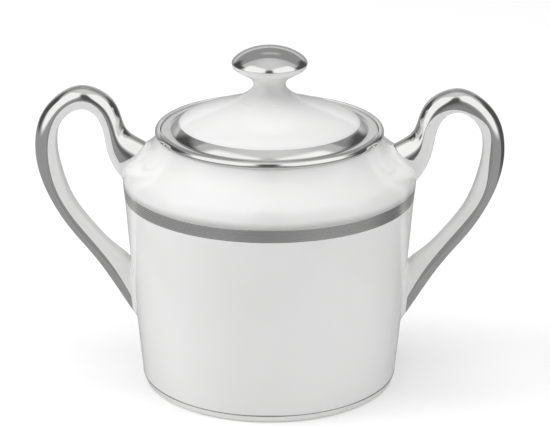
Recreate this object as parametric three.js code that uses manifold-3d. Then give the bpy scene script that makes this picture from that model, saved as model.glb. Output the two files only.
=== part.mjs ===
// Covered sugar bowl: glazed white porcelain decorated with fired-on platinum bands.
// Millimetres, +Z up. The origin is the centre of the foot, and the two handles lie along X.
// Every platinum film is a thin skin of its own, lying just off the porcelain that carries it.

import * as THREE from 'three';
import { mergeVertices } from 'three/addons/utils/BufferGeometryUtils.js';
import Module from 'manifold-3d';

const wasm = await Module();
wasm.setup();

// ---------- driving dimensions ----------

const TURN_STEPS = 40;            // facets around every turned piece
const JOINT_GAP = 0.3;            // clearance between pieces that meet face to face

const FILM_GAP = 0.2;             // between a platinum film and the glaze under it
const FILM_THICKNESS = 0.25;

const FOOT_RADIUS = 41.0;         // outside of the foot ring where it meets the table
const FOOT_FLAT_OUTER = 40.2;     // resting face of the foot ring
const FOOT_FLAT_INNER = 37.2;
const FOOT_RECESS = 2.4;          // height of the hollow inside the foot ring
const FOOT_LINE_Z = 2.6;          // thin platinum line just above the foot
const FOOT_LINE_RADIUS = 41.76;
const FOOT_LINE_WIDTH = 0.5;

const WALL_BOW = 0.22;            // how far the tapered wall swells at half height
const WALL_THICKNESS = 3.2;
const FLOOR_Z = 5.8;              // inside of the bowl
const FLOOR_CORNER = 5.0;

const BAND_BOTTOM_Z = 63.4;       // wide platinum band under the shoulder
const BAND_BOTTOM_RADIUS = 47.0;
const BAND_TOP_Z = 67.7;
const BAND_TOP_RADIUS = 47.46;

const SHOULDER_RADIUS = 44.6;     // where the rounded corner passes into the hollow neck
const SHOULDER_Z = 74.6;
const NECK_RADIUS = 36.34;
const NECK_Z = 83.7;

const RIM_BEAD_CENTRE = [35.6, 84.6];
const RIM_BEAD_RADIUS = 1.25;
const REBATE_RADIUS = 35.2;       // step inside the rim that takes the lid
const LEDGE_Z = 83.6;
const MOUTH_RADIUS = 31.6;

const LID_RADIUS = 34.55;
const LID_SEAT_Z = LEDGE_Z + JOINT_GAP;
const COLLAR_OUTER = 31.0;        // locating ring under the lid
const COLLAR_INNER = 28.6;
const COLLAR_BOTTOM_Z = 78.5;
const FLANGE_CREST = [33.6, 85.3];     // the lid's flat edge, a little lower than the bowl's rim
const FLANGE_INNER = [31.5, 85.05];
const DOME_EDGE = [29.15, 87.5];       // the slope rises to here, where the dome springs
const DOME_TOP_RADIUS = 9.9;
const DOME_TOP_Z = 95.5;
const LID_HOLLOW_Z = 91.4;

const KNOB_SEAT_Z = DOME_TOP_Z + JOINT_GAP;
const KNOB_SEAT_RADIUS = 9.45;
const KNOB_NECK_RADIUS = 5.2;
const KNOB_NECK_Z = 100.2;
const KNOB_RADIUS = 12.1;
const KNOB_WIDEST_Z = 107.1;
const KNOB_TOP_Z = 112.4;

const HANDLE_STEPS = 32;
const HANDLE_SIDE_POINTS = 6;     // section points on each half of the outer round face
const HANDLE_WAIST = 0.52;        // its widest line, as a share of the depth from the front face
const FRONT_SQUARENESS = 0.45;    // 1 would make the front face round, towards 0 it turns square
const FILM_HALF_ANGLE = 78;       // degrees of the round outer face that platinum covers

// ---------- materials ----------

const porcelain = new THREE.MeshStandardMaterial({
  name: 'porcelain', color: 0xf1f1ef, roughness: 0.12, metalness: 0,
});
const platinum = new THREE.MeshStandardMaterial({
  name: 'platinum', color: 0xb9b9b7, roughness: 0.2, metalness: 1,
});

// ---------- profile helpers: every point is [radius, height] ----------

function curve(p0, p1, p2, p3, steps) {
  const [a, b, c, d] = [p0, p1, p2, p3].map(([x, y]) => new THREE.Vector2(x, y));
  return new THREE.CubicBezierCurve(a, b, c, d).getPoints(steps).map((p) => [p.x, p.y]);
}

function arc([cx, cy], radius, fromDegrees, toDegrees, steps) {
  const points = [];
  for (let i = 0; i <= steps; i += 1) {
    const angle = THREE.MathUtils.degToRad(fromDegrees + ((toDegrees - fromDegrees) * i) / steps);
    points.push([cx + radius * Math.cos(angle), cy + radius * Math.sin(angle)]);
  }
  return points;
}

// Joins stretches into one line and drops the points that two stretches share.
function join(...stretches) {
  const line = [];
  for (const point of stretches.flat()) {
    const last = line.at(-1);
    if (!last || Math.hypot(point[0] - last[0], point[1] - last[1]) > 0.02) {
      line.push(point);
    }
  }
  return line;
}

// Moves an open line sideways; a line walked upwards on the outside moves away from the axis.
function offset(line, distance) {
  return line.map(([x, y], i) => {
    const [x0, y0] = line[Math.max(i - 1, 0)];
    const [x1, y1] = line[Math.min(i + 1, line.length - 1)];
    const length = Math.hypot(x1 - x0, y1 - y0);
    return [x + (distance * (y1 - y0)) / length, y - (distance * (x1 - x0)) / length];
  });
}

// ---------- geometry helpers ----------

function signedVolume(geometry) {
  const { array } = geometry.attributes.position;
  const index = geometry.index.array;
  const corner = (i) => new THREE.Vector3().fromArray(array, index[i] * 3);
  let volume = 0;
  for (let i = 0; i < index.length; i += 3) {
    volume += corner(i).dot(corner(i + 1).cross(corner(i + 2))) / 6;
  }
  return volume;
}

// Merges shared corners, drops collapsed triangles and turns the faces outwards.
function closeBody(source) {
  const bare = new THREE.BufferGeometry();
  bare.setAttribute('position', source.attributes.position.clone());
  bare.setIndex([...(source.index?.array ?? source.attributes.position.array.keys())]);
  const merged = mergeVertices(bare, 1e-4);
  const kept = [];
  for (let i = 0; i < merged.index.count; i += 3) {
    const [a, b, c] = merged.index.array.slice(i, i + 3);
    if (a !== b && b !== c && c !== a) {
      kept.push(a, b, c);
    }
  }
  merged.setIndex(kept);
  if (signedVolume(merged) < 0) {
    const index = merged.index.array;
    for (let i = 0; i < index.length; i += 3) {
      [index[i + 1], index[i + 2]] = [index[i + 2], index[i + 1]];
    }
  }
  return merged;
}

function turned(profile, closed = false) {
  const points = profile.map(([x, y]) => new THREE.Vector2(Math.max(x, 0), y));
  if (closed) {
    points.push(points[0].clone());
  }
  const geometry = new THREE.LatheGeometry(points, TURN_STEPS);
  geometry.rotateX(Math.PI / 2);
  return closeBody(geometry);
}

// A thin turned skin that lies over an open stretch of profile.
function turnedFilm(line) {
  const inner = offset(line, FILM_GAP);
  const outer = offset(line, FILM_GAP + FILM_THICKNESS);
  return turned([...outer, ...inner.reverse()], true);
}

function toManifold(geometry) {
  const { position } = geometry.attributes;
  return new wasm.Manifold(new wasm.Mesh({
    numProp: 3,
    vertProperties: new Float32Array(position.array),
    triVerts: new Uint32Array(geometry.index.array),
  }));
}

function cut(geometry, tool) {
  const result = toManifold(geometry).subtract(toManifold(tool)).getMesh();
  const cutGeometry = new THREE.BufferGeometry();
  cutGeometry.setAttribute('position', new THREE.BufferAttribute(result.vertProperties, 3));
  cutGeometry.setIndex([...result.triVerts]);
  return closeBody(cutGeometry);
}

// ---------- bowl ----------

const footEdge = curve(
  [FOOT_FLAT_OUTER, 0], [FOOT_RADIUS - 0.2, 0], [FOOT_RADIUS, 0.3], [FOOT_RADIUS + 0.15, 0.8], 2,
);

function wallRadius(z) {
  const t = (z - FOOT_LINE_Z) / (BAND_BOTTOM_Z - FOOT_LINE_Z);
  const straight = FOOT_LINE_RADIUS + (BAND_BOTTOM_RADIUS - FOOT_LINE_RADIUS) * t;
  return straight + WALL_BOW * 4 * t * (1 - t);
}

function wall(fromZ, toZ, steps) {
  const points = [];
  for (let i = 0; i <= steps; i += 1) {
    const z = fromZ + ((toZ - fromZ) * i) / steps;
    points.push([wallRadius(z), z]);
  }
  return points;
}

const bandLine = [[BAND_BOTTOM_RADIUS, BAND_BOTTOM_Z], [BAND_TOP_RADIUS, BAND_TOP_Z]];

const shoulderLine = join(
  curve([BAND_TOP_RADIUS, BAND_TOP_Z], [47.7, 71], [46.8, 73], [SHOULDER_RADIUS, SHOULDER_Z], 5),
  curve([SHOULDER_RADIUS, SHOULDER_Z], [41.5, 77], [37.5, 79.5], [NECK_RADIUS, NECK_Z], 6),
);

const rimBead = arc(RIM_BEAD_CENTRE, RIM_BEAD_RADIUS, -54, 96, 5);

const bowlInside = join(
  [[REBATE_RADIUS, RIM_BEAD_CENTRE[1] + 0.8], [REBATE_RADIUS, LEDGE_Z]],
  [[MOUTH_RADIUS, LEDGE_Z], [MOUTH_RADIUS, 81.5]],
  curve([MOUTH_RADIUS, 81.5], [32.0, 77.5], [39.0, 74.5], [41.6, 72.0], 5),
  curve([41.6, 72.0], [43.6, 70.5], [44.2, 69.0], [44.2, 66.0], 3),
  [[wallRadius(34) - WALL_THICKNESS, 34]],
  arc([wallRadius(12) - WALL_THICKNESS - FLOOR_CORNER, FLOOR_Z + FLOOR_CORNER], FLOOR_CORNER, 0, -90, 4),
  [[0, FLOOR_Z]],
);

const bowlOutside = join(
  [[0, FOOT_RECESS], [35.4, FOOT_RECESS], [36.6, 0.7], [FOOT_FLAT_INNER, 0]],
  footEdge,
  wall(FOOT_LINE_Z, BAND_BOTTOM_Z, 5),
  bandLine,
  shoulderLine,
  rimBead,
);

const bowlBody = turned(join(bowlOutside, bowlInside));

// The outside of the bowl as a plain solid, grown by the joint gap, trims the handles.
const handleTrim = turned(join(
  [[0, -4], [FOOT_RADIUS, -4]],
  offset(join(wall(FOOT_LINE_Z, BAND_BOTTOM_Z, 5), bandLine, shoulderLine), JOINT_GAP),
  [[0, NECK_Z]],
));

const footLine = turnedFilm(wall(
  FOOT_LINE_Z - FOOT_LINE_WIDTH / 2,
  FOOT_LINE_Z + FOOT_LINE_WIDTH / 2,
  1,
));
const shoulderBand = turnedFilm(bandLine);
const rimBand = turnedFilm(rimBead);

// ---------- lid ----------

const lidEdge = join(
  curve([LID_RADIUS, 84.6], [LID_RADIUS, 85.1], [34.3, FLANGE_CREST[1]], FLANGE_CREST, 4),
  curve(FLANGE_CREST, [32.9, FLANGE_CREST[1]], [32.2, 85.15], FLANGE_INNER, 2),
  curve(FLANGE_INNER, [31.0, 85.75], [29.95, 86.95], DOME_EDGE, 3),
);
const lidDome = curve(DOME_EDGE, [27.5, 89.6], [14.2, 92.9], [DOME_TOP_RADIUS, DOME_TOP_Z], 7);

const lidUnderside = join(
  curve([0, LID_HOLLOW_Z], [10, LID_HOLLOW_Z], [17, 86.4], [25.5, 86.2], 6),
  [[COLLAR_INNER, 84.6], [COLLAR_INNER, COLLAR_BOTTOM_Z]],
  [[COLLAR_OUTER - 0.5, COLLAR_BOTTOM_Z], [COLLAR_OUTER, COLLAR_BOTTOM_Z + 0.8]],
  [[COLLAR_OUTER, LID_SEAT_Z], [LID_RADIUS - 0.8, LID_SEAT_Z]],
  [[LID_RADIUS, LID_SEAT_Z + 0.6]],
);

const lid = turned(join(lidUnderside, lidEdge, lidDome, [[0, DOME_TOP_Z]]));
const lidEdgeBand = turnedFilm(lidEdge);

// ---------- knob ----------

const knobStem = join(
  curve([KNOB_SEAT_RADIUS, KNOB_SEAT_Z], [8.0, 96.75], [KNOB_NECK_RADIUS, 98.1],
    [KNOB_NECK_RADIUS, KNOB_NECK_Z], 5),
  curve([KNOB_NECK_RADIUS, KNOB_NECK_Z], [KNOB_NECK_RADIUS, 101.8], [6.65, 102.65], [8.6, 103.8], 4),
  curve([8.6, 103.8], [10.6, 104.95], [KNOB_RADIUS, 105.4], [KNOB_RADIUS, KNOB_WIDEST_Z], 3),
);

const crownLine = curve(
  [KNOB_RADIUS, KNOB_WIDEST_Z], [KNOB_RADIUS, 108.8], [6.8, KNOB_TOP_Z], [0, KNOB_TOP_Z], 6,
);

const lidKnob = turned(join([[0, KNOB_SEAT_Z]], knobStem, crownLine));

// The cap film closes over the top, so its two skins both end on the axis.
const knobCap = turned(join(
  offset(crownLine, FILM_GAP + FILM_THICKNESS).slice(0, -1),
  [[0, KNOB_TOP_Z + FILM_GAP + FILM_THICKNESS]],
  [[0, KNOB_TOP_Z + FILM_GAP]],
  offset(crownLine, FILM_GAP).slice(0, -1).reverse(),
), true);

// ---------- handles ----------

// Outlines in the plane of the handle, [x, z] from the bowl's axis: the rounded back of the
// handle, and the flat face that looks into the finger loop.
const HANDLE_BACK = [
  [38.4, 79.2], [43.2, 81.9], [46.5, 84.9], [48.6, 90.8], [52.2, 95.9], [60.1, 98.95], [68.2, 95.7],
  [74.1, 88.0], [75.8, 78.0], [73.5, 66.0], [65.4, 51.0], [57.4, 40.9], [51.0, 31.4],
  [44.9, 21.6], [42.6, 18.6],
];
const HANDLE_FRONT = [
  [44.0, 66.5], [48.2, 69.6], [51.4, 75.2], [53.0, 81.5], [54.7, 87.9], [60.2, 91.9], [66.7, 87.9],
  [68.8, 79.5], [67.6, 71.4], [64.4, 61.9], [57.9, 52.2], [51.6, 45.2], [47.2, 41.6],
  [44.6, 38.2], [42.0, 33.0],
];
const HANDLE_HALF_WIDTH = [
  5.2, 5.2, 5.0, 4.7, 4.5, 4.4, 4.3, 4.2, 4.1, 4.0, 3.9, 3.9, 4.1, 4.2, 4.2,
];

const backCurve = new THREE.CatmullRomCurve3(
  HANDLE_BACK.map(([x, z]) => new THREE.Vector3(x, 0, z)), false, 'centripetal',
);
const frontCurve = new THREE.CatmullRomCurve3(
  HANDLE_FRONT.map(([x, z]) => new THREE.Vector3(x, 0, z)), false, 'centripetal',
);

function halfWidthAt(t) {
  const place = t * (HANDLE_HALF_WIDTH.length - 1);
  const i = Math.min(Math.floor(place), HANDLE_HALF_WIDTH.length - 2);
  return THREE.MathUtils.lerp(HANDLE_HALF_WIDTH[i], HANDLE_HALF_WIDTH[i + 1], place - i);
}

// One point of the D-shaped section. Angle 90 is the middle of the rounded back, 0 and 180 are
// the widest lines, and the front is flat with soft corners. Grow pushes the point outwards.
function sectionPoint(t, degrees, grow) {
  const angle = THREE.MathUtils.degToRad(degrees);
  const back = backCurve.getPoint(t);
  const front = frontCurve.getPoint(t);
  const middle = new THREE.Vector3().lerpVectors(front, back, HANDLE_WAIST);
  const reach = degrees >= 0 && degrees <= 180 ? back : front;
  const depth = reach.clone().sub(middle);
  const sharpness = reach === back ? 1 : FRONT_SQUARENESS;
  const along = Math.abs(Math.sin(angle)) ** sharpness;
  const across = Math.sign(Math.cos(angle)) * Math.abs(Math.cos(angle)) ** sharpness;
  const length = depth.length();
  const point = middle.addScaledVector(depth.divideScalar(length), (length + grow) * along);
  point.y = across * (halfWidthAt(t) + grow);
  return point;
}

// Skins a grid of rings; each ring is a closed loop of points.
function loft(rings) {
  const size = rings[0].length;
  const index = [];
  for (let i = 0; i < rings.length - 1; i += 1) {
    for (let j = 0; j < size; j += 1) {
      const a = i * size + j;
      const b = i * size + ((j + 1) % size);
      index.push(a, b, b + size, a, b + size, a + size);
    }
  }
  const last = (rings.length - 1) * size;
  for (let j = 1; j < size - 1; j += 1) {
    index.push(0, j + 1, j, last, last + j, last + j + 1);
  }
  const geometry = new THREE.BufferGeometry().setFromPoints(rings.flat());
  geometry.setIndex(index);
  return closeBody(geometry);
}

function handleSolid() {
  const rings = [];
  for (let i = 0; i <= HANDLE_STEPS; i += 1) {
    const ring = [];
    for (let j = 0; j < 2 * HANDLE_SIDE_POINTS; j += 1) {
      ring.push(sectionPoint(i / HANDLE_STEPS, (180 * j) / HANDLE_SIDE_POINTS, 0));
    }
    rings.push(ring);
  }
  return loft(rings);
}

// Platinum covers the rounded back from the tongue on the shoulder down to a narrow tip.
function handleFilmSolid() {
  const rings = [];
  const firstStep = 2;
  const lastStep = HANDLE_STEPS - 2;
  for (let i = firstStep; i <= lastStep; i += 1) {
    const toTip = Math.min(1, (lastStep + 0.6 - i) / 4);
    const halfAngle = FILM_HALF_ANGLE * Math.sqrt(toTip);
    const angles = Array.from({ length: 7 }, (_, j) => 90 + halfAngle * (j / 3 - 1));
    const t = i / HANDLE_STEPS;
    rings.push([
      ...angles.map((degrees) => sectionPoint(t, degrees, FILM_GAP + FILM_THICKNESS)),
      ...angles.reverse().map((degrees) => sectionPoint(t, degrees, FILM_GAP)),
    ]);
  }
  return loft(rings);
}

const handle = cut(handleSolid(), handleTrim);
const handleFilm = cut(handleFilmSolid(), handleTrim);

// ---------- assembly ----------

function place(group, name, geometry, material, turn = 0) {
  const mesh = new THREE.Mesh(geometry, material);
  mesh.name = name;
  mesh.rotation.z = turn;
  group.add(mesh);
}

const bowl = new THREE.Group();
place(bowl, 'bowl_body', bowlBody, porcelain);
place(bowl, 'foot_line', footLine, platinum);
place(bowl, 'shoulder_band', shoulderBand, platinum);
place(bowl, 'rim_band', rimBand, platinum);

for (const [side, turn] of [['right', 0], ['left', Math.PI]]) {
  place(bowl, `handle_${side}`, handle, porcelain, turn);
  place(bowl, `handle_band_${side}`, handleFilm, platinum, turn);
}

const cover = new THREE.Group();
place(cover, 'lid', lid, porcelain);
place(cover, 'lid_edge_band', lidEdgeBand, platinum);
place(cover, 'lid_knob', lidKnob, porcelain);
place(cover, 'knob_cap', knobCap, platinum);

const sugarBowl = new THREE.Group();
sugarBowl.add(bowl, cover);

export default sugarBowl;
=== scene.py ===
import math

import bmesh
import bpy
import numpy as np
from mathutils import Matrix, Vector


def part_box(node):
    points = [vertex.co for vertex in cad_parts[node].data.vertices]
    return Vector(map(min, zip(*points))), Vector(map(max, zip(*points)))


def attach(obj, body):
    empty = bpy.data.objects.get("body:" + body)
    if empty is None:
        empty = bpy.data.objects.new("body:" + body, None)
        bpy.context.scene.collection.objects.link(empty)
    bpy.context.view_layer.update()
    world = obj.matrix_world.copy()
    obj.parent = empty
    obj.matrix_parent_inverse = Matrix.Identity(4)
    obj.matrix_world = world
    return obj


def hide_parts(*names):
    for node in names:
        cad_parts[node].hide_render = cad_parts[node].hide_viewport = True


# Covered sugar bowl: glazed white porcelain with fired-on platinum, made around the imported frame.
# Outlines are in millimetres in the frame's own axes, and become metres when a mesh is made.

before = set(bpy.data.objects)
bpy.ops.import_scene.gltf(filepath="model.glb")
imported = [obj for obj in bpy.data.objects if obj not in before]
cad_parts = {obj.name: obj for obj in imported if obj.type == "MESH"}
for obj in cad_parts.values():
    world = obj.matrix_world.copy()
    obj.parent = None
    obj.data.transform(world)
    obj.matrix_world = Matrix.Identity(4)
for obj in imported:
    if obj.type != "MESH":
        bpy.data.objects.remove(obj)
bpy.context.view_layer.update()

MM = 0.001


# ---------- places read from the frame ----------

def corners(node):
    low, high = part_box(node)
    return np.array(low) / MM, np.array(high) / MM


def shift(point, out, up):
    """The point that lies so far outwards and upwards from another."""
    return point[0] + out, point[1] + up


line_low, line_high = corners("foot_line")
band_low, band_high = corners("shoulder_band")
lid_low, lid_high = corners("lid")
bowl_high = corners("bowl_body")[1]
rim_high = corners("rim_band")[1]
edge_high = corners("lid_edge_band")[1]
knob_high = corners("lid_knob")[1]
cap_low = corners("knob_cap")[0]

# Named places are [radius, height], like the points of the outlines.
FILM_STANDOFF = 0.45          # from the porcelain to the outer faces of the frame's platinum skins
FOOT_LINE = (line_high[0] - FILM_STANDOFF, (line_low[2] + line_high[2]) / 2)
FOOT_LINE_WIDTH = line_high[2] - line_low[2]
BAND_TOP = (band_high[0] - FILM_STANDOFF, band_high[2])
BAND_BOTTOM = (BAND_TOP[0] - 0.46, band_low[2])
SHOULDER = shift(BAND_TOP, -2.86, 6.9)
WALL_BOW = 0.22               # how far the middle of the wall stands out past a straight taper
WALL_THICKNESS = 3.2

RIM_BEAD = 1.25
RIM_CENTRE = (rim_high[0] - FILM_STANDOFF - RIM_BEAD, bowl_high[2] - RIM_BEAD)
NECK = shift(RIM_CENTRE, 0.74, -0.9)

LID_RADIUS = edge_high[0] + 0.05
FLANGE_CREST = (LID_RADIUS - 1.45, RIM_CENTRE[1] + 0.7)
FLANGE_INNER = shift(FLANGE_CREST, -1.7, -0.12)
DOME_EDGE = shift(FLANGE_CREST, -4.45, 2.2)
DOME_TOP = (DOME_EDGE[0] - 19.25, lid_high[2])

KNOB_WIDEST = (knob_high[0], cap_low[2])
KNOB_UNDERSIDE = shift(KNOB_WIDEST, -3.5, -3.3)
KNOB_NECK = shift(KNOB_WIDEST, -6.9, -6.9)
KNOB_TOP_Z = knob_high[2]

SEGMENTS = 288


# ---------- outlines: rows of [radius, height] ----------

def bezier(a, b, c, d, steps):
    t = np.linspace(0, 1, steps + 1)[:, None]
    a, b, c, d = (np.array(p, float) for p in (a, b, c, d))
    return (1 - t) ** 3 * a + 3 * (1 - t) ** 2 * t * b + 3 * (1 - t) * t ** 2 * c + t ** 3 * d


def arc(centre, radius, start, end, steps):
    angle = np.radians(np.linspace(start, end, steps + 1))
    return np.stack([centre[0] + radius * np.cos(angle), centre[1] + radius * np.sin(angle)], 1)


def straight(a, b, steps=1):
    t = np.linspace(0, 1, steps + 1)[:, None]
    return (1 - t) * np.array(a, float) + t * np.array(b, float)


def chain(*stretches):
    """Joins stretches end to end and drops the points that two of them share."""
    points = np.concatenate([np.atleast_2d(np.array(s, float)) for s in stretches])
    kept = [points[0]]
    for point in points[1:]:
        if np.hypot(*(point - kept[-1])) > 0.01:
            kept.append(point)
    return np.array(kept)


def normals_of(line):
    """Unit vectors to the right of an open line, away from the axis where it is walked upwards."""
    along = np.gradient(line, axis=0)
    along /= np.hypot(along[:, 0], along[:, 1])[:, None]
    return np.stack([along[:, 1], -along[:, 0]], 1)


def lengths_of(line):
    return np.concatenate([[0], np.cumsum(np.hypot(*np.diff(line, axis=0).T))])


def wall_radius(z):
    t = (z - FOOT_LINE[1]) / (BAND_BOTTOM[1] - FOOT_LINE[1])
    return FOOT_LINE[0] + (BAND_BOTTOM[0] - FOOT_LINE[0]) * t + WALL_BOW * 4 * t * (1 - t)


def wall(low, high, steps):
    z = np.linspace(low, high, steps + 1)
    return np.stack([wall_radius(z), z], 1)


# The bowl, from the middle of its underside, up the outside, over the rim and down the inside.
HOLLOW_EDGE = (34.2, 2.4)
HOLLOW_SLOPE = (36.3, 1.1)
REST_INNER = (37.8, 0.0)
REST_OUTER = (FOOT_LINE[0] - 1.96, 0.0)
FOOT_EDGE = (FOOT_LINE[0] - 0.63, 0.8)
FOOT_TOP = (wall_radius(FOOT_LINE[1] - 0.35), FOOT_LINE[1] - 0.35)
foot_underside = chain(
    straight((0, HOLLOW_EDGE[1]), HOLLOW_EDGE, 14),
    bezier(HOLLOW_EDGE, shift(HOLLOW_EDGE, 1.1, 0), shift(HOLLOW_SLOPE, -0.4, 0.8), HOLLOW_SLOPE, 10),
    bezier(HOLLOW_SLOPE, shift(HOLLOW_SLOPE, 0.4, -0.8), shift(REST_INNER, -0.7, 0), REST_INNER, 10),
)
foot_edge = chain(
    straight(REST_INNER, REST_OUTER, 2),
    bezier(REST_OUTER, shift(REST_OUTER, 0.9, 0), shift(FOOT_EDGE, -0.13, -0.55), FOOT_EDGE, 10),
    bezier(FOOT_EDGE, shift(FOOT_EDGE, 0.12, 0.5), shift(FOOT_EDGE, 0.51, 1.0), FOOT_TOP, 8),
)
band_line = straight(BAND_BOTTOM, BAND_TOP, 8)
shoulder_line = chain(
    bezier(BAND_TOP, shift(BAND_TOP, 0.24, 3.3), shift(SHOULDER, 2.2, -1.6), SHOULDER, 28),
    bezier(SHOULDER, shift(SHOULDER, -3.1, 2.4), shift(NECK, 1.16, -4.2), NECK, 34),
)
rim_bead = arc(RIM_CENTRE, RIM_BEAD, -54, 96, 30)
body_outside = chain(wall(FOOT_LINE[1], BAND_BOTTOM[1], 60), band_line, shoulder_line)

REBATE_TOP = shift(RIM_CENTRE, -0.4, 0.6)
LEDGE_Z = RIM_CENTRE[1] - 1.0
LEDGE_CORNER = 0.3            # radius of the hollow corner where the rebate meets the ledge
REBATE_FOOT = (REBATE_TOP[0], LEDGE_Z + LEDGE_CORNER)
MOUTH_ROUND = 0.5             # radius of the ledge's inner edge
MOUTH = (RIM_CENTRE[0] - 4.0, LEDGE_Z - MOUTH_ROUND)
INNER_SHOULDER = (MOUTH[0] + 10.0, 72.0)
INNER_WALL_TOP = (wall_radius(60) - WALL_THICKNESS + 0.6, 66.0)
INNER_WALL_MIDDLE = (wall_radius(34) - WALL_THICKNESS, 34)
FLOOR_Z = 5.8
FLOOR_CORNER = 5.0
INNER_WALL_FOOT = (wall_radius(12) - WALL_THICKNESS, FLOOR_Z + FLOOR_CORNER)
bowl_inside = chain(
    bezier(rim_bead[-1], shift(REBATE_TOP, 0.1, 0.6), shift(REBATE_TOP, 0, 0.4), REBATE_TOP, 5),
    straight(REBATE_TOP, REBATE_FOOT, 3),
    arc(shift(REBATE_FOOT, -LEDGE_CORNER, 0), LEDGE_CORNER, 0, -90, 5),
    straight(shift(REBATE_FOOT, -LEDGE_CORNER, -LEDGE_CORNER), shift(MOUTH, MOUTH_ROUND, MOUTH_ROUND), 3),
    arc(shift(MOUTH, MOUTH_ROUND, 0), MOUTH_ROUND, 90, 180, 6),
    bezier(MOUTH, shift(MOUTH, 0.2, -5.6), shift(INNER_SHOULDER, -2.6, 2.5), INNER_SHOULDER, 24),
    bezier(INNER_SHOULDER, shift(INNER_SHOULDER, 2.0, -1.9), shift(INNER_WALL_TOP, 0, 3.0),
           INNER_WALL_TOP, 14),
    straight(INNER_WALL_TOP, INNER_WALL_MIDDLE, 12),
    straight(INNER_WALL_MIDDLE, INNER_WALL_FOOT, 10),
    arc(shift(INNER_WALL_FOOT, -FLOOR_CORNER, 0), FLOOR_CORNER, 0, -90, 14),
    straight(shift(INNER_WALL_FOOT, -FLOOR_CORNER, -FLOOR_CORNER), (0, FLOOR_Z), 14),
)
bowl_outline = chain(foot_underside, foot_edge, body_outside, rim_bead, bowl_inside)

# The lid, from the middle of its underside, round the collar and out to its edge, and up the dome.
LID_SEAT_Z = LEDGE_Z + 0.3
COLLAR_ROUND = 0.8            # radius of the collar's two lower edges
COLLAR_OUTER_TOP = (MOUTH[0] - 0.6, LID_SEAT_Z - 0.4)
COLLAR_INNER_TOP = (COLLAR_OUTER_TOP[0] - 2.4, 84.2)
COLLAR_ROUND_Z = lid_low[2] + COLLAR_ROUND
INNER_ROUND = (COLLAR_INNER_TOP[0] + COLLAR_ROUND, COLLAR_ROUND_Z)
OUTER_ROUND = (COLLAR_OUTER_TOP[0] - COLLAR_ROUND, COLLAR_ROUND_Z)
CEILING_MIDDLE = (0, 91.4)
CEILING_EDGE = (25.5, 86.2)
SEAT_INNER = shift(COLLAR_OUTER_TOP, 0.4, 0.4)
SEAT_OUTER = (LID_RADIUS - 0.9, LID_SEAT_Z)
LID_WIDEST = (LID_RADIUS, LID_SEAT_Z + 0.7)
lid_underside = chain(
    bezier(CEILING_MIDDLE, shift(CEILING_MIDDLE, 10, 0), shift(CEILING_EDGE, -8.5, 0.2), CEILING_EDGE, 24),
    bezier(CEILING_EDGE, shift(CEILING_EDGE, 1.9, -0.1), shift(COLLAR_INNER_TOP, 0, 1.4),
           COLLAR_INNER_TOP, 10),
    straight(COLLAR_INNER_TOP, shift(INNER_ROUND, -COLLAR_ROUND, 0), 5),
    arc(INNER_ROUND, COLLAR_ROUND, 180, 270, 6),
    arc(OUTER_ROUND, COLLAR_ROUND, -90, 0, 6),
    straight(shift(OUTER_ROUND, COLLAR_ROUND, 0), COLLAR_OUTER_TOP, 5),
    bezier(COLLAR_OUTER_TOP, shift(COLLAR_OUTER_TOP, 0, 0.3), shift(SEAT_INNER, -0.3, 0), SEAT_INNER, 4),
    straight(SEAT_INNER, SEAT_OUTER, 2),
    bezier(SEAT_OUTER, shift(SEAT_OUTER, 0.7, 0), shift(LID_WIDEST, 0, -0.4), LID_WIDEST, 7),
)
CREASE = 0.16                 # half the length of the small fillet where the slope meets the edge
FLANGE_END = shift(FLANGE_INNER, CREASE, 0.02)
SLOPE_FOOT = shift(FLANGE_INNER, -CREASE * 0.6, CREASE * 0.8)
lid_edge = chain(
    bezier(LID_WIDEST, shift(LID_WIDEST, 0, 0.6), shift(FLANGE_CREST, 1.3, 0), FLANGE_CREST, 20),
    bezier(FLANGE_CREST, shift(FLANGE_CREST, -0.8, 0), shift(FLANGE_INNER, 0.7, 0.08), FLANGE_END, 16),
    bezier(FLANGE_END, FLANGE_INNER, FLANGE_INNER, SLOPE_FOOT, 6),
    bezier(SLOPE_FOOT, shift(SLOPE_FOOT, -0.6, 0.7), shift(DOME_EDGE, 1.2, -0.78), DOME_EDGE, 14),
)
lid_dome = bezier(DOME_EDGE, shift(DOME_EDGE, -1.65, 2.1), shift(DOME_TOP, 4.3, -2.6), DOME_TOP, 60)
DOME_CLOSE = shift(DOME_TOP, -0.9, 0.55)
lid_outline = chain(lid_underside, lid_edge, lid_dome, [DOME_CLOSE, (0, DOME_CLOSE[1])])

# The knob, from the dome's surface up its stem and over the mushroom.
SKIRT_POINTS = 6


def knob_skirt():
    """The foot of the knob: it leaves the dome so gently that the two run into each other."""
    stretch = lid_dome[-SKIRT_POINTS:]
    lift = np.linspace(-0.06, 0.03, SKIRT_POINTS)[:, None]
    return stretch + normals_of(stretch) * lift


AXIS_GAP = 0.02               # the crown stops this short of the axis, where one point closes it
crown = bezier(KNOB_WIDEST, shift(KNOB_WIDEST, 0, 1.7), (KNOB_WIDEST[0] - 5.3, KNOB_TOP_Z),
               (AXIS_GAP, KNOB_TOP_Z), 60)
# The stem's first points are left out, as the skirt already ends there.
stem = bezier(DOME_TOP, shift(DOME_TOP, -1.73, 1.05), shift(KNOB_NECK, 0, -2.1), KNOB_NECK, 26)[2:]
knob_outline = chain(
    [(0, lid_dome[-SKIRT_POINTS][1])],
    knob_skirt(),
    stem,
    bezier(KNOB_NECK, shift(KNOB_NECK, 0, 1.6), shift(KNOB_UNDERSIDE, -1.95, -1.15), KNOB_UNDERSIDE, 16),
    bezier(KNOB_UNDERSIDE, shift(KNOB_UNDERSIDE, 1.95, 1.15), shift(KNOB_WIDEST, 0, -1.7), KNOB_WIDEST, 18),
    crown,
    [(0, KNOB_TOP_Z)],
)

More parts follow.
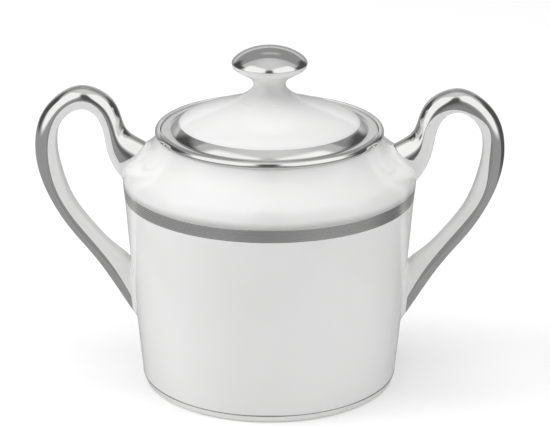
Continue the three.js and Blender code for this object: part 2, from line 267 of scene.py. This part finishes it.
FILM_RISE = 0.07              # a platinum film stands this far proud
FILM_DEPTH = 0.12             # and is let in this deep
FILM_EDGE_SINK = 0.01         # its very edge lies this far under the glaze
FILM_FEATHER = 0.22           # width over which its edge rises
FEATHER_STEPS = np.array([0, 0.06, 0.2, 0.45, 0.75, 1.0])


def feather(distance):
    """Height of a film at a distance from its edge."""
    t = np.clip(distance / FILM_FEATHER, 0, 1)
    return FILM_RISE * (2 * np.sqrt(t) - t) - FILM_EDGE_SINK


def film_outline(line):
    """A closed outline of a thin turned film over an open stretch of porcelain."""
    length = lengths_of(line)
    edge = FILM_FEATHER * FEATHER_STEPS
    places = np.unique(np.concatenate([length, edge, length[-1] - edge]))
    places = places[(places >= 0) & (places <= length[-1])]
    fine = np.stack([np.interp(places, length, line[:, i]) for i in (0, 1)], 1)
    side = np.stack([np.interp(places, length, normals_of(line)[:, i]) for i in (0, 1)], 1)
    height = feather(np.minimum(places, length[-1] - places))
    return np.concatenate([fine + side * height[:, None], (fine - side * FILM_DEPTH)[::-1]])


cap_outline = chain(
    [(0, KNOB_TOP_Z - FILM_DEPTH)],
    (crown - normals_of(crown) * FILM_DEPTH)[::-1],
    crown + normals_of(crown) * feather(lengths_of(crown))[:, None],
    [(0, KNOB_TOP_Z + FILM_RISE)],
)


# ---------- meshes ----------

def grid_faces(rows, columns, start=0, wrap=True):
    """Quads of a grid numbered row by row; with wrap, the last column joins the first."""
    faces = []
    for row in range(rows - 1):
        for column in range(columns if wrap else columns - 1):
            beside = (column + 1) % columns
            a, b = start + row * columns, start + (row + 1) * columns
            faces.append((a + column, a + beside, b + beside, b + column))
    return faces


def turned(outline, closed=False):
    """Turns an outline about Z. It runs from axis to axis, or is a closed ring."""
    angle = np.linspace(0, 2 * math.pi, SEGMENTS, endpoint=False)
    rings = outline if closed else outline[1:-1]
    points = [(r * np.cos(angle), r * np.sin(angle), np.full(SEGMENTS, z)) for r, z in rings]
    points = np.concatenate([np.stack(p, 1) for p in points])
    faces = grid_faces(len(rings), SEGMENTS)
    last = (len(rings) - 1) * SEGMENTS
    for i in range(SEGMENTS):
        beside = (i + 1) % SEGMENTS
        if closed:
            faces.append((last + i, last + beside, beside, i))
        else:
            faces.append((len(points), beside, i))
            faces.append((len(points) + 1, last + i, last + beside))
    if not closed:
        points = np.vstack([points, [0, 0, outline[0][1]], [0, 0, outline[-1][1]]])
    return points, faces


SHARP_ANGLE = 50


def make_piece(name, shape, material, body, node):
    points, faces = shape
    mesh = bpy.data.meshes.new(name)
    mesh.from_pydata((np.asarray(points) * MM).tolist(), [], faces)
    work = bmesh.new()
    work.from_mesh(mesh)
    bmesh.ops.recalc_face_normals(work, faces=work.faces)
    work.to_mesh(mesh)
    work.free()
    mesh.shade_smooth()
    mesh.set_sharp_from_angle(angle=math.radians(SHARP_ANGLE))
    mesh.materials.append(material)
    piece = bpy.data.objects.new(name, mesh)
    bpy.context.scene.collection.objects.link(piece)
    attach(piece, body)
    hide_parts(node)


# ---------- handles ----------

# The handle in its own plane, [x, z]: its rounded back, the face that looks into the finger loop,
# and half its width at the same stations. The left handle is the right one turned round.
HANDLE_BACK = np.array([
    (38.4, 79.2), (43.2, 81.9), (46.5, 84.9), (48.6, 90.8), (52.2, 95.9), (60.1, 98.95), (68.2, 95.7),
    (74.1, 88.0), (75.8, 78.0), (73.5, 66.0), (65.4, 51.0), (57.4, 40.9), (51.0, 31.4),
    (44.9, 21.6), (42.6, 18.6),
])
HANDLE_FRONT = np.array([
    (44.0, 66.5), (48.2, 69.6), (51.4, 75.2), (53.0, 81.5), (54.7, 87.9), (60.2, 91.9), (66.7, 87.9),
    (68.8, 79.5), (67.6, 71.4), (64.4, 61.9), (57.9, 52.2), (51.6, 45.2), (47.2, 41.6),
    (44.6, 38.2), (42.0, 33.0),
])
HANDLE_HALF_WIDTH = np.array([
    5.2, 5.2, 5.0, 4.7, 4.5, 4.4, 4.3, 4.2, 4.1, 4.0, 3.9, 3.9, 4.1, 4.2, 4.2,
])[:, None]
HANDLE_WAIST = 0.52           # the widest line, as a share of the depth from the front face
FRONT_SQUARENESS = 0.45       # how flat the front face is, from 1, round, towards 0, square

SECTION_DEPTH = 3.6           # half the depth and half the width of a typical section
SECTION_WIDTH = 4.3
SECTION_SAMPLES = 4001

stations = lengths_of((HANDLE_BACK + HANDLE_FRONT) / 2)
HANDLE_LENGTH = stations[-1]
HANDLE_SAMPLES = 1600


def spline(knots, values, at):
    """Reads a natural cubic spline through values at knots."""
    gap = np.diff(knots)
    count = len(knots)
    system, bend = np.eye(count), np.zeros(values.shape)
    for i in range(1, count - 1):
        system[i, i - 1:i + 2] = gap[i - 1], 2 * (gap[i - 1] + gap[i]), gap[i]
        bend[i] = 6 * ((values[i + 1] - values[i]) / gap[i] - (values[i] - values[i - 1]) / gap[i - 1])
    bend = np.linalg.solve(system, bend)
    i = np.clip(np.searchsorted(knots, at) - 1, 0, count - 2)
    step = gap[i][:, None]
    a = (knots[i + 1] - at)[:, None] / step
    b = (at - knots[i])[:, None] / step
    curve = (a ** 3 - a) * bend[i] + (b ** 3 - b) * bend[i + 1]
    return a * values[i] + b * values[i + 1] + curve * step ** 2 / 6


def d_section():
    """The outline of the D section for a turn from -0.5 to 0.5, evenly spaced: [turn, along, across].
    Turn 0 is the middle of the rounded back, where along is 1; along is -1 on the front face."""
    angle = np.linspace(-math.pi, math.pi, SECTION_SAMPLES)
    along = np.cos(angle)
    across = np.sin(angle)
    front = along < 0
    along[front] = -np.abs(along[front]) ** FRONT_SQUARENESS
    across[front] = np.sign(across[front]) * np.abs(across[front]) ** FRONT_SQUARENESS
    length = lengths_of(np.stack([along * SECTION_DEPTH, across * SECTION_WIDTH], 1))
    return length / length[-1] - 0.5, along, across


SECTION = d_section()


def handle_surface(place, turn, grow=0.0):
    """Points of the right handle: place runs along it in millimetres, turn runs round its section."""
    turn = (turn + 0.5) % 1.0 - 0.5
    along = np.interp(turn, SECTION[0], SECTION[1])
    across = np.interp(turn, SECTION[0], SECTION[2])
    back = spline(stations, HANDLE_BACK, place)
    front = spline(stations, HANDLE_FRONT, place)
    width = spline(stations, HANDLE_HALF_WIDTH, place)[:, 0]
    middle = front + HANDLE_WAIST * (back - front)
    reach = np.where((along > 0)[:, None], back - middle, front - middle)
    depth = np.hypot(reach[:, 0], reach[:, 1])
    plane = middle + reach / depth[:, None] * ((depth + grow) * np.abs(along))[:, None]
    return np.stack([plane[:, 0], across * (width + grow), plane[:, 1]], 1)


def body_distance(points):
    """How far points are outside the bowl's outer surface, and the unit vector away from it."""
    flat = np.stack([np.hypot(points[:, 0], points[:, 1]), points[:, 2]], 1)
    a, b = body_outside[:-1], body_outside[1:]
    step = b - a
    t = np.einsum("pij,ij->pi", flat[:, None] - a[None], step) / (step ** 2).sum(1)
    foot = a[None] + np.clip(t, 0, 1)[..., None] * step[None]
    apart = np.linalg.norm(flat[:, None] - foot, axis=2)
    nearest = apart.argmin(1)
    rows = np.arange(len(flat))
    side = normals_of(body_outside)
    normal = (side[nearest] + side[nearest + 1]) / 2
    normal /= np.hypot(normal[:, 0], normal[:, 1])[:, None]
    distance = ((flat - foot[rows, nearest]) * normal).sum(1)
    turn = points[:, :2] / np.maximum(flat[:, :1], 1e-9)
    return distance, np.concatenate([turn * normal[:, :1], normal[:, 1:]], 1)


def onto_body(point, height):
    """Moves a point to a height over the bowl's outer surface."""
    point = np.array(point, float)[None]
    for _ in range(4):
        distance, normal = body_distance(point)
        point = point + normal * (height - distance)[:, None]
    return point[0]


HANDLE_LINES = 72
FILLET_STEPS = 9
MIDDLE_STEPS = 190
ROOT_FILLET = (1.5, 0.9)      # reach on the handle's back and on its front, at its upper end
TIP_FILLET = (1.1, 2.0)       # and at its lower end
TOE_SHARE = 1.1               # from the corner to the fillet's toe, as a share of its reach
TOE_DEPTH = 0.03              # the toe lies this deep in the bowl's glaze
BURIED_STEP = 0.25            # beyond the toe, the handle's end goes under by a step and a depth
BURIED_DEPTH = 0.35
END_DEPTH = 1.2


def crossing(values, level, first, last):
    """The index from first towards last where values rise past level."""
    step = 1 if last > first else -1
    for i in range(first, last, step):
        if values[i] < level <= values[i + step]:
            return i + step
    return first


def rooted_end(places, line, distance, middle, reach, first, last):
    """The fillet at one end of a handle line, from inside the porcelain of the bowl outwards.
    Returns its points and the place along the handle where it hands over to the plain line."""
    meets = crossing(distance, 0.0, first, last)
    leaves = crossing(distance, reach, meets, last)
    corner = onto_body(line[meets], 0.0)
    normal = body_distance(corner[None])[1][0]
    outward = corner - middle[meets]
    outward -= normal * (outward @ normal)
    outward /= np.linalg.norm(outward)
    toe = onto_body(corner + outward * reach * TOE_SHARE, -TOE_DEPTH)
    t = np.linspace(0, 1, FILLET_STEPS + 1)[:-1, None]
    curve = (1 - t) ** 2 * toe + 2 * (1 - t) * t * corner + t ** 2 * line[leaves]
    buried = onto_body(toe + outward * BURIED_STEP, -BURIED_DEPTH)
    deep = onto_body(corner, -END_DEPTH)
    return np.vstack([deep, buried, curve]), places[leaves]


def handle_shape(turned_round):
    """The porcelain of one handle; turned_round is the factor for each axis."""
    places = np.linspace(0, HANDLE_LENGTH, HANDLE_SAMPLES)
    centre = np.zeros(len(places))
    middle = (handle_surface(places, centre) + handle_surface(places, centre + 0.5)) / 2
    half = len(places) // 2
    lines = []
    for turn in np.linspace(-0.5, 0.5, HANDLE_LINES, endpoint=False):
        line = handle_surface(places, np.full(len(places), turn))
        distance = body_distance(line)[0]
        frontness = abs(turn) * 2
        reach = [back + (front - back) * frontness for back, front in (ROOT_FILLET, TIP_FILLET)]
        root, start = rooted_end(places, line, distance, middle, reach[0], 0, half)
        tip, end = rooted_end(places, line, distance, middle, reach[1], len(places) - 1, half)
        along = np.linspace(start, end, MIDDLE_STEPS)
        lines.append(np.vstack([root, handle_surface(along, np.full(MIDDLE_STEPS, turn)), tip[::-1]]))
    rings = np.array(lines).transpose(1, 0, 2)
    rows = len(rings)
    points = rings.reshape(-1, 3)
    faces = grid_faces(rows, HANDLE_LINES)
    for row, cap in ((0, len(points)), (rows - 1, len(points) + 1)):
        first = row * HANDLE_LINES
        for i in range(HANDLE_LINES):
            faces.append((first + i, first + (i + 1) % HANDLE_LINES, cap))
    points = np.vstack([points, rings[0].mean(0), rings[-1].mean(0)])
    return points * turned_round, faces


# The brushed edge of the platinum, as a share of the handle's depth from its back, at shares of
# the handle's length. Each handle was painted by hand, so the two differ.
FILM_STATIONS = np.array([
    0.03, 0.09, 0.13, 0.19, 0.24, 0.29, 0.34, 0.40, 0.44, 0.48, 0.58, 0.68, 0.76, 0.84, 0.92,
])
FILM_EDGE = {
    "left": np.array([
        0.72, 0.69, 0.63, 0.60, 0.54, 0.55, 0.58, 0.60, 0.59, 0.57, 0.54, 0.57, 0.57, 0.50, 0.40,
    ]),
    "right": np.array([
        0.50, 0.46, 0.38, 0.49, 0.70, 0.82, 0.68, 0.52, 0.63, 0.65, 0.52, 0.60, 0.62, 0.53, 0.42,
    ]),
}
HALF_TURN_SAMPLES = 400
FILM_COLUMNS = 33
FILM_ROWS = 240
FILM_TOP_GAP = (1.2, 1.4)     # clear porcelain between the bowl and the film's end, crest and sides
FILM_CORNER_GAP = 1.6         # and how much more at the end's two rounded corners,
FILM_CORNER_START = 0.55      # which begin at this share of the film's half width
FILM_TIP_GAP = 1.25
FILM_HALF_WIDTH = 6.0         # a typical half width, to feather the film towards its sides
FILM_EDGE_COLUMNS = np.array([0, 0.004, 0.012, 0.024, 0.038])


def film_half_turn(side, place):
    """How far round from the middle of the back the film reaches."""
    share = place / HANDLE_LENGTH
    edge = spline(FILM_STATIONS, FILM_EDGE[side][:, None], np.clip(share, 0.0, 1.0))[:, 0]
    turn = np.linspace(0, 0.5, HALF_TURN_SAMPLES)
    along = np.interp(turn, SECTION[0], SECTION[1])
    depth = np.where(along > 0, (1 - HANDLE_WAIST) * (1 - along),
                     1 - HANDLE_WAIST - along * HANDLE_WAIST)
    rising = np.concatenate([[True], np.diff(depth) > 1e-6])
    return np.interp(edge, depth[rising], turn[rising])


def film_columns():
    """Shares from -1 to 1 across the film, closer together at its feathered edges."""
    edge = FILM_EDGE_COLUMNS
    inner = np.linspace(-1 + edge[-1], 1 - edge[-1], FILM_COLUMNS)
    return np.unique(np.concatenate([-1 + edge, inner, 1 - edge]))


def film_top_gap(side_share):
    """Clear porcelain above the film, from its crest, at share 0, out to its sides, at share 1."""
    plain = FILM_TOP_GAP[0] + (FILM_TOP_GAP[1] - FILM_TOP_GAP[0]) * side_share
    past = max(0.0, (side_share - FILM_CORNER_START) / (1 - FILM_CORNER_START))
    return plain + FILM_CORNER_GAP * (1 - math.sqrt(max(0.0, 1 - past ** 2)))


def handle_film_shape(side, turned_round):
    """The platinum over the back of one handle, as a thin closed skin."""
    dense = np.linspace(0, HANDLE_LENGTH, HANDLE_SAMPLES)
    half = len(dense) // 2
    reach = film_half_turn(side, dense)
    columns = film_columns()
    upper, lower = [], []
    for column in columns:
        line = handle_surface(dense, column * reach)
        distance = body_distance(line)[0]
        side_share = abs(column)
        start = dense[crossing(distance, film_top_gap(side_share), 0, half)]
        end = dense[crossing(distance, FILM_TIP_GAP, len(dense) - 1, half)]
        span = end - start
        edge = FILM_FEATHER * FEATHER_STEPS / span
        inner = np.linspace(edge[-1], 1 - edge[-1], FILM_ROWS)
        rows = np.unique(np.concatenate([edge, inner, 1 - edge]))
        place = start + rows * span
        turn = column * np.interp(place, dense, reach)
        to_side = (1 - side_share) * FILM_HALF_WIDTH
        height = feather(np.minimum(np.minimum(rows, 1 - rows) * span, to_side))
        plain = handle_surface(place, turn)
        grown = handle_surface(place, turn, 1.0) - plain
        upper.append(plain + grown * height[:, None])
        lower.append(plain - grown * FILM_DEPTH)
    loop = np.array(upper + lower[::-1]).transpose(1, 0, 2)
    rows, count = loop.shape[:2]
    faces = grid_faces(rows, count)
    half_count = count // 2
    for row in (0, rows - 1):
        for i in range(half_count - 1):
            a, b = row * count + i, row * count + count - 1 - i
            faces.append((a, a + 1, b - 1, b))
    return loop.reshape(-1, 3) * turned_round, faces


# ---------- materials ----------

class Surface:
    """A Principled material with a few short ways to add nodes to it."""

    def __init__(self, name, **settings):
        self.material = bpy.data.materials.new(name)
        self.material.use_nodes = True
        self.tree = self.material.node_tree
        self.shader = self.tree.nodes["Principled BSDF"]
        self.place = self.add("ShaderNodeTexCoord").outputs["Object"]
        for socket, value in settings.items():
            self.shader.inputs[socket.replace("_", " ")].default_value = value

    def add(self, kind, links=(), **values):
        node = self.tree.nodes.new(kind)
        for name, value in values.items():
            setattr(node, name, value)
        for socket, value in dict(links).items():
            if isinstance(value, bpy.types.NodeSocket):
                self.tree.links.new(value, node.inputs[socket])
            else:
                node.inputs[socket].default_value = value
        return node

    def stretched(self, x, y, z):
        return self.add("ShaderNodeMapping", {"Vector": self.place, "Scale": (x, y, z)}).outputs["Vector"]

    def noise(self, scale, detail=2.0, vector=None):
        links = {"Vector": vector or self.place, "Scale": scale, "Detail": detail}
        return self.add("ShaderNodeTexNoise", links).outputs["Fac"]

    def ranged(self, value, low, high, to_low, to_high):
        links = {"Value": value, "From Min": low, "From Max": high, "To Min": to_low, "To Max": to_high}
        return self.add("ShaderNodeMapRange", links, interpolation_type="SMOOTHSTEP").outputs["Result"]

    def mixed(self, factor, first, second):
        node = self.add("ShaderNodeMix", {"Factor": factor}, data_type="RGBA")
        for socket, value in ((node.inputs["A"], first), (node.inputs["B"], second)):
            colour = [s for s in node.inputs if s.name == socket.name and s.type == "RGBA"][0]
            if isinstance(value, bpy.types.NodeSocket):
                self.tree.links.new(value, colour)
            else:
                colour.default_value = (*value, 1)
        return [s for s in node.outputs if s.type == "RGBA"][0]

    def maths(self, operation, a, b):
        return self.add("ShaderNodeMath", {0: a, 1: b}, operation=operation).outputs["Value"]

    def bumped(self, *layers):
        """Stacks bump layers, each a height and how many millimetres it spans."""
        normal = None
        for height, distance in layers:
            links = {"Height": height, "Distance": distance * MM, "Strength": 1.0}
            if normal:
                links["Normal"] = normal
            normal = self.add("ShaderNodeBump", links).outputs["Normal"]
        self.tree.links.new(normal, self.shader.inputs["Normal"])

    def drive(self, socket, value):
        self.tree.links.new(value, self.shader.inputs[socket])


def make_porcelain():
    """Clear glaze over white porcelain: a slow drift of tone, rare pinholes, a bare foot ring, and
    a painted grey shade just above the shoulder band."""
    surface = Surface("glazed_porcelain", IOR=1.5, Coat_Weight=0.3, Coat_Roughness=0.03)
    drift = surface.ranged(surface.noise(26.0, 3.0), 0.35, 0.65, 0.0, 1.0)
    white = surface.mixed(drift, (0.845, 0.845, 0.84), (0.875, 0.875, 0.872))
    cells = surface.add("ShaderNodeTexVoronoi", {"Vector": surface.place, "Scale": 75.0})
    near = surface.ranged(cells.outputs["Distance"], 0.008, 0.02, 0.55, 0.0)
    chosen = surface.ranged(cells.outputs["Color"], 0.66, 0.7, 0.0, 1.0)
    specked = surface.mixed(surface.maths("MULTIPLY", near, chosen), white, (0.5, 0.49, 0.47))
    height = surface.add("ShaderNodeSeparateXYZ", {"Vector": surface.place}).outputs["Z"]
    bare = surface.ranged(height, 0.15 * MM, 0.35 * MM, 1.0, 0.0)
    grain = surface.mixed(surface.noise(2600.0, 3.0), (0.66, 0.65, 0.62), (0.78, 0.77, 0.74))
    flat = surface.stretched(1.0, 1.0, 0.0)
    radius = surface.add("ShaderNodeVectorMath", {0: flat}, operation="LENGTH").outputs["Value"]
    # Painted shade: a grey tone on the glaze just above the shoulder band. It is darkest at the band, gone
    # 2.5 mm higher, and kept to the bowl's outside.
    band_radius, band_top = BAND_TOP[0] * MM, BAND_TOP[1] * MM
    on_bowl = surface.ranged(radius, band_radius, band_radius + 0.8 * MM, 1.0, 0.0)
    outside = surface.maths("GREATER_THAN", radius, band_radius - 1.6 * MM)
    above = surface.maths("GREATER_THAN", height, BAND_BOTTOM[1] * MM)
    painted_shade_fade = surface.ranged(height, band_top, band_top + 2.5 * MM, 0.78, 0.0)
    painted_shade_zone = surface.maths("MULTIPLY", surface.maths("MULTIPLY", on_bowl, outside), above)
    painted_shade = surface.maths("MULTIPLY", painted_shade_zone, painted_shade_fade)
    # Mixes the painted shade into the white glaze.
    with_painted_shade = surface.mixed(painted_shade, specked, (0.46, 0.46, 0.455))
    surface.drive("Base Color", surface.mixed(bare, with_painted_shade, grain))
    gloss = surface.ranged(surface.noise(90.0, 2.0), 0.3, 0.7, 0.05, 0.1)
    surface.drive("Roughness", surface.maths("MAXIMUM", gloss, surface.maths("MULTIPLY", bare, 0.6)))
    surface.bumped((surface.noise(70.0, 1.0), 0.008), (surface.noise(420.0, 1.0), 0.0012))
    return surface.material


def make_platinum():
    """Burnished platinum lustre: a mirror with faint brush marks, thin places and rubbed patches."""
    surface = Surface("bright_platinum", Metallic=1.0)
    tone = surface.ranged(surface.noise(55.0, 4.0), 0.3, 0.7, 0.0, 1.0)
    surface.drive("Base Color", surface.mixed(tone, (0.70, 0.70, 0.695), (0.745, 0.745, 0.74)))
    rubbed = surface.ranged(surface.noise(120.0, 5.0), 0.55, 0.8, 0.06, 0.16)
    surface.drive("Roughness", rubbed)
    surface.bumped((surface.noise(95.0, 1.0), 0.003), (surface.noise(700.0, 2.0), 0.0012))
    return surface.material


def make_satin_platinum():
    """The wide band: platinum laid on a turning wheel, so its fine streaks run round the bowl."""
    surface = Surface("satin_platinum", Metallic=1.0)
    streaks = surface.noise(1.0, 4.0, surface.stretched(14.0, 14.0, 5200.0))
    broad = surface.noise(1.0, 2.0, surface.stretched(9.0, 9.0, 500.0))
    fine_share = surface.maths("MULTIPLY", streaks, 0.6)
    broad_share = surface.maths("MULTIPLY", broad, 0.4)
    both = surface.maths("ADD", fine_share, broad_share)
    tone = surface.ranged(both, 0.35, 0.65, 0.0, 1.0)
    surface.drive("Base Color", surface.mixed(tone, (0.645, 0.645, 0.64), (0.70, 0.70, 0.695)))
    surface.drive("Roughness", surface.ranged(streaks, 0.3, 0.7, 0.23, 0.32))
    surface.bumped((streaks, 0.001))
    return surface.material


porcelain = make_porcelain()
platinum = make_platinum()
satin_platinum = make_satin_platinum()


# ---------- the bowl and its cover ----------

make_piece("glazed_bowl", turned(bowl_outline), porcelain, "bowl", "bowl_body")
make_piece("glazed_lid", turned(lid_outline), porcelain, "cover", "lid")
make_piece("glazed_knob", turned(knob_outline), porcelain, "cover", "lid_knob")

line_half = FOOT_LINE_WIDTH / 2
foot_line = wall(FOOT_LINE[1] - line_half, FOOT_LINE[1] + line_half, 6)
for name, stretch, body, node in (
    ("platinum_foot_line", foot_line, "bowl", "foot_line"),
    ("platinum_rim", rim_bead, "bowl", "rim_band"),
    ("platinum_lid_edge", lid_edge, "cover", "lid_edge_band"),
):
    make_piece(name, turned(film_outline(stretch), closed=True), platinum, body, node)
make_piece("platinum_shoulder_band", turned(film_outline(band_line), closed=True), satin_platinum,
           "bowl", "shoulder_band")

make_piece("platinum_knob_cap", turned(cap_outline), platinum, "cover", "knob_cap")

for side, turned_round in (("right", np.array([1, 1, 1])), ("left", np.array([-1, -1, 1]))):
    make_piece(f"glazed_handle_{side}", handle_shape(turned_round), porcelain,
               "bowl", f"handle_{side}")
    make_piece(f"platinum_handle_{side}", handle_film_shape(side, turned_round), platinum,
               "bowl", f"handle_band_{side}")


# ---------- studio ----------

def stage_object(name, mesh):
    thing = bpy.data.objects.new(name, mesh)
    bpy.context.scene.collection.objects.link(thing)
    return thing


def plane_mesh(name, width, height):
    mesh = bpy.data.meshes.new(name)
    x, y = width / 2, height / 2
    mesh.from_pydata([(-x, -y, 0), (x, -y, 0), (x, y, 0), (-x, y, 0)], [], [(0, 1, 2, 3)])
    return mesh


def seen_only_in_reflections(thing):
    thing.visible_camera = False
    thing.visible_diffuse = False
    thing.visible_transmission = False
    thing.visible_volume_scatter = False
    thing.visible_shadow = False


def make_floor():
    material = bpy.data.materials.new("white_table")
    material.use_nodes = True
    shader = material.node_tree.nodes["Principled BSDF"]
    shader.inputs["Base Color"].default_value = (0.93, 0.93, 0.93, 1)
    shader.inputs["Emission Color"].default_value = (1, 1, 1, 1)
    shader.inputs["Emission Strength"].default_value = 0.15
    shader.inputs["Roughness"].default_value = 0.9
    shader.inputs["Specular IOR Level"].default_value = 0.0
    floor = stage_object("floor", plane_mesh("floor", 12, 12))
    floor.data.materials.append(material)
    floor.location.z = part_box("bowl_body")[0].z
    floor.visible_glossy = False


STUDIO_RADIUS = 4.0
CARD_DISTANCE = 2.0
LIGHT_DISTANCE = 1.6
CENTRE = Vector((0, 0, 0.06))


def direction(azimuth, elevation):
    """A direction from the object: azimuth 0 is towards the camera, 90 is to the right."""
    a, e = math.radians(azimuth), math.radians(elevation)
    return Vector((math.sin(a) * math.cos(e), -math.cos(a) * math.cos(e), math.sin(e)))


def glowing_material(name):
    """A material with only its object's axes in its node tree, each running from 0 to 1."""
    material = bpy.data.materials.new(name)
    material.use_nodes = True
    material.cycles.emission_sampling = "NONE"
    tree = material.node_tree
    tree.nodes.clear()
    place = tree.nodes.new("ShaderNodeTexCoord").outputs["Generated"]
    axes = tree.nodes.new("ShaderNodeSeparateXYZ")
    tree.links.new(place, axes.inputs[0])
    return material, tree, axes


def glow(name, strength, fade):
    """Light of one strength that fades out over a share of the card towards its edges."""
    material, tree, axes = glowing_material(name)
    covers = []
    for axis in ("X", "Y"):
        near = tree.nodes.new("ShaderNodeMath")
        near.operation = "PINGPONG"
        near.inputs[1].default_value = 0.5
        tree.links.new(axes.outputs[axis], near.inputs[0])
        ramp = tree.nodes.new("ShaderNodeMapRange")
        ramp.interpolation_type = "SMOOTHSTEP"
        ramp.inputs["From Max"].default_value = fade
        tree.links.new(near.outputs[0], ramp.inputs["Value"])
        covers.append(ramp.outputs["Result"])
    both = tree.nodes.new("ShaderNodeMath")
    both.operation = "MULTIPLY"
    tree.links.new(covers[0], both.inputs[0])
    tree.links.new(covers[1], both.inputs[1])
    light = tree.nodes.new("ShaderNodeEmission")
    light.inputs["Strength"].default_value = strength
    clear = tree.nodes.new("ShaderNodeBsdfTransparent")
    mix = tree.nodes.new("ShaderNodeMixShader")
    tree.links.new(both.outputs[0], mix.inputs[0])
    tree.links.new(clear.outputs[0], mix.inputs[1])
    tree.links.new(light.outputs[0], mix.inputs[2])
    end = tree.nodes.new("ShaderNodeOutputMaterial")
    tree.links.new(mix.outputs[0], end.inputs["Surface"])
    return material


def card(name, azimuth, elevation, width, height, strength, fade, distance=CARD_DISTANCE):
    """A card that only reflections see, facing the object; width and height are angles in degrees."""
    across = 2 * distance * math.tan(math.radians(width / 2))
    up = 2 * distance * math.tan(math.radians(height / 2))
    thing = stage_object(name, plane_mesh(name, across, up))
    thing.data.materials.append(glow(name, strength, fade))
    away = direction(azimuth, elevation)
    thing.location = CENTRE + away * distance
    thing.rotation_mode = "QUATERNION"
    thing.rotation_quaternion = (-away).to_track_quat("Z", "Y")
    seen_only_in_reflections(thing)


def make_room(levels):
    """The room that reflections see: a big ball whose brightness changes with elevation."""
    work = bmesh.new()
    bmesh.ops.create_uvsphere(work, u_segments=48, v_segments=32, radius=STUDIO_RADIUS)
    mesh = bpy.data.meshes.new("room")
    work.to_mesh(mesh)
    work.free()
    room = stage_object("room", mesh)
    room.location = CENTRE
    material, tree, axes = glowing_material("room")
    ramp = tree.nodes.new("ShaderNodeValToRGB")
    tree.links.new(axes.outputs["Z"], ramp.inputs[0])
    stops = ramp.color_ramp.elements
    while len(stops) < len(levels):
        stops.new(0.5)
    for stop, (elevation, level) in zip(stops, levels):
        stop.position = (1 + math.sin(math.radians(elevation))) / 2
        stop.color = (level, level, level, 1)
    light = tree.nodes.new("ShaderNodeEmission")
    tree.links.new(ramp.outputs[0], light.inputs["Color"])
    end = tree.nodes.new("ShaderNodeOutputMaterial")
    tree.links.new(light.outputs[0], end.inputs["Surface"])
    mesh.materials.append(material)
    seen_only_in_reflections(room)


def soft_light(name, azimuth, elevation, size, watts):
    """A studio softbox that lights the object without showing in it; the cards do that."""
    lamp = bpy.data.lights.new(name, "AREA")
    lamp.shape = "RECTANGLE"
    lamp.size, lamp.size_y = size
    lamp.energy = watts
    thing = bpy.data.objects.new(name, lamp)
    bpy.context.scene.collection.objects.link(thing)
    away = direction(azimuth, elevation)
    thing.location = CENTRE + away * LIGHT_DISTANCE
    thing.rotation_mode = "QUATERNION"
    thing.rotation_quaternion = away.to_track_quat("Z", "Y")
    thing.visible_camera = False
    thing.visible_glossy = False


def make_world(level):
    world = bpy.data.worlds.new("studio")
    world.use_nodes = True
    background = world.node_tree.nodes["Background"]
    background.inputs["Color"].default_value = (1, 1, 1, 1)
    background.inputs["Strength"].default_value = level
    bpy.context.scene.world = world
    world.cycles_visibility.glossy = False


# The camera: metres from the bowl's axis and over the table, degrees, and a focal length in mm.
CAMERA_DISTANCE = 0.77583
CAMERA_HEIGHT = 0.33739
CAMERA_TURN = 1.3
CAMERA_PITCH = 20.136
CAMERA_PAN = 0.136
CAMERA_ROLL = 0.15
LENS = 165.6
SENSOR_WIDTH = 36.0


def make_camera():
    data = bpy.data.cameras.new("camera")
    data.sensor_width = SENSOR_WIDTH
    data.lens = LENS
    camera = bpy.data.objects.new("camera", data)
    bpy.context.scene.collection.objects.link(camera)
    turn = math.radians(CAMERA_TURN)
    x = CAMERA_DISTANCE * math.sin(turn)
    y = -CAMERA_DISTANCE * math.cos(turn)
    camera.location = (x, y, CAMERA_HEIGHT)
    heading = Matrix.Rotation(turn - math.radians(CAMERA_PAN), 4, "Z")
    tilt = Matrix.Rotation(math.radians(90 - CAMERA_PITCH), 4, "X")
    roll = Matrix.Rotation(math.radians(CAMERA_ROLL), 4, "Z")
    camera.rotation_euler = (heading @ tilt @ roll).to_euler()
    bpy.context.scene.camera = camera


make_camera()
make_floor()
make_world(0.24)
make_room([
    (-90, 0.38), (-6, 0.38), (8, 0.46), (18, 0.78), (28, 0.62), (60, 0.64), (76, 0.78), (90, 0.80),
])
card("back_dark", 180, 42, 98, 44, 0.35, 0.1)
card("back_window", 180, 46, 24, 14, 0.53, 0.3, 1.95)
card("left_dark", -116, 16, 56, 54, 0.09, 0.22, 1.95)
card("right_dark", 120, 4, 70, 76, 0.10, 0.22, 1.95)
card("left_softbox", -50, 32, 76, 88, 1.22, 0.17)
card("right_softbox", 50, 32, 76, 88, 1.2, 0.17)
card("camera_side_gap", 0, 22, 30, 100, 0.11, 0.34, 1.8)
card("floor_in_front", 0, -34, 60, 26, 0.30, 0.3, 1.7)
soft_light("overhead", 0, 86, (1.8, 1.8), 20.0)
soft_light("from_left", -82, 30, (1.0, 1.4), 10.0)
soft_light("from_right", 70, 34, (1.0, 1.4), 4.6)
bpy.context.scene.view_settings.view_transform = "Standard"
